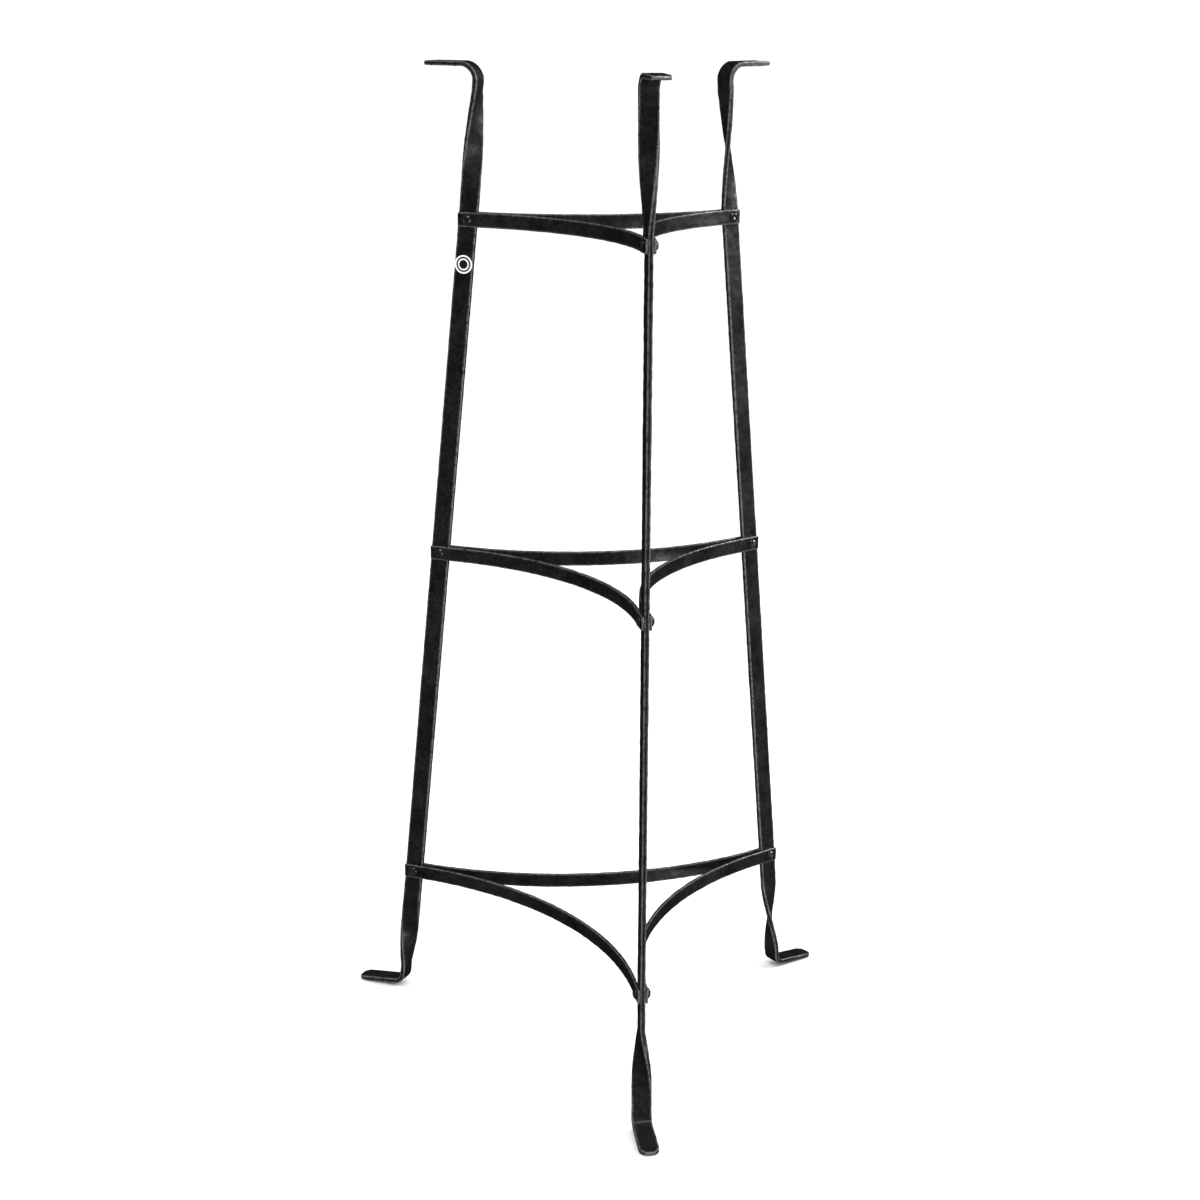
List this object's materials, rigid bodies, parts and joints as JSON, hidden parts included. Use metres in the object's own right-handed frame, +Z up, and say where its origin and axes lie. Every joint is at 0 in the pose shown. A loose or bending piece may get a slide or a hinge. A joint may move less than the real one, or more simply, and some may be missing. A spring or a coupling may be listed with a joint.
{
  "type": "tripod pot stand",
  "caption": "Tall tripod pot stand of black hammered flat bar: twisted legs with outward fingers and feet, joined at tiers by curved braces with bolts and barrel nuts.",
  "frame": {"origin": "on the floor, at the middle of the box around the stand; the stand's own vertical axis is 72.1 mm behind it, at X 0", "axes": "+Z up, the stand's longest extent; the front leg is on the -Y side and the other two legs are behind it, left (-X) and right (+X)"},
  "size_m": [0.5212, 0.4538, 1.021],
  "materials": {
    "hammered_black": "satin black enamel over hammered steel bar, edges slightly rubbed",
    "black_hardware": "semi-gloss black plated steel",
    "badge_enamel": "pale enamel with plain dark rings"
  },
  "bodies": {
    "root": {"leg_front": "hammered_black", "leg_right": "hammered_black", "leg_left": "hammered_black", "brace_bottom_front_right": "hammered_black", "brace_bottom_front_left": "hammered_black", "brace_bottom_rear": "hammered_black", "brace_middle_front_right": "hammered_black", "brace_middle_front_left": "hammered_black", "brace_middle_rear": "hammered_black", "brace_top_front_right": "hammered_black", "brace_top_front_left": "hammered_black", "brace_top_rear": "hammered_black", "bolt_bottom_front": "black_hardware", "barrel_nut_bottom_front": "black_hardware", "bolt_middle_front": "black_hardware", "barrel_nut_middle_front": "black_hardware", "bolt_top_front": "black_hardware", "barrel_nut_top_front": "black_hardware", "bolt_bottom_right": "black_hardware", "barrel_nut_bottom_right": "black_hardware", "bolt_middle_right": "black_hardware", "barrel_nut_middle_right": "black_hardware", "bolt_top_right": "black_hardware", "barrel_nut_top_right": "black_hardware", "bolt_bottom_left": "black_hardware", "barrel_nut_bottom_left": "black_hardware", "bolt_middle_left": "black_hardware", "barrel_nut_middle_left": "black_hardware", "bolt_top_left": "black_hardware", "barrel_nut_top_left": "black_hardware", "badge": "badge_enamel"}
  },
  "joints": []
}
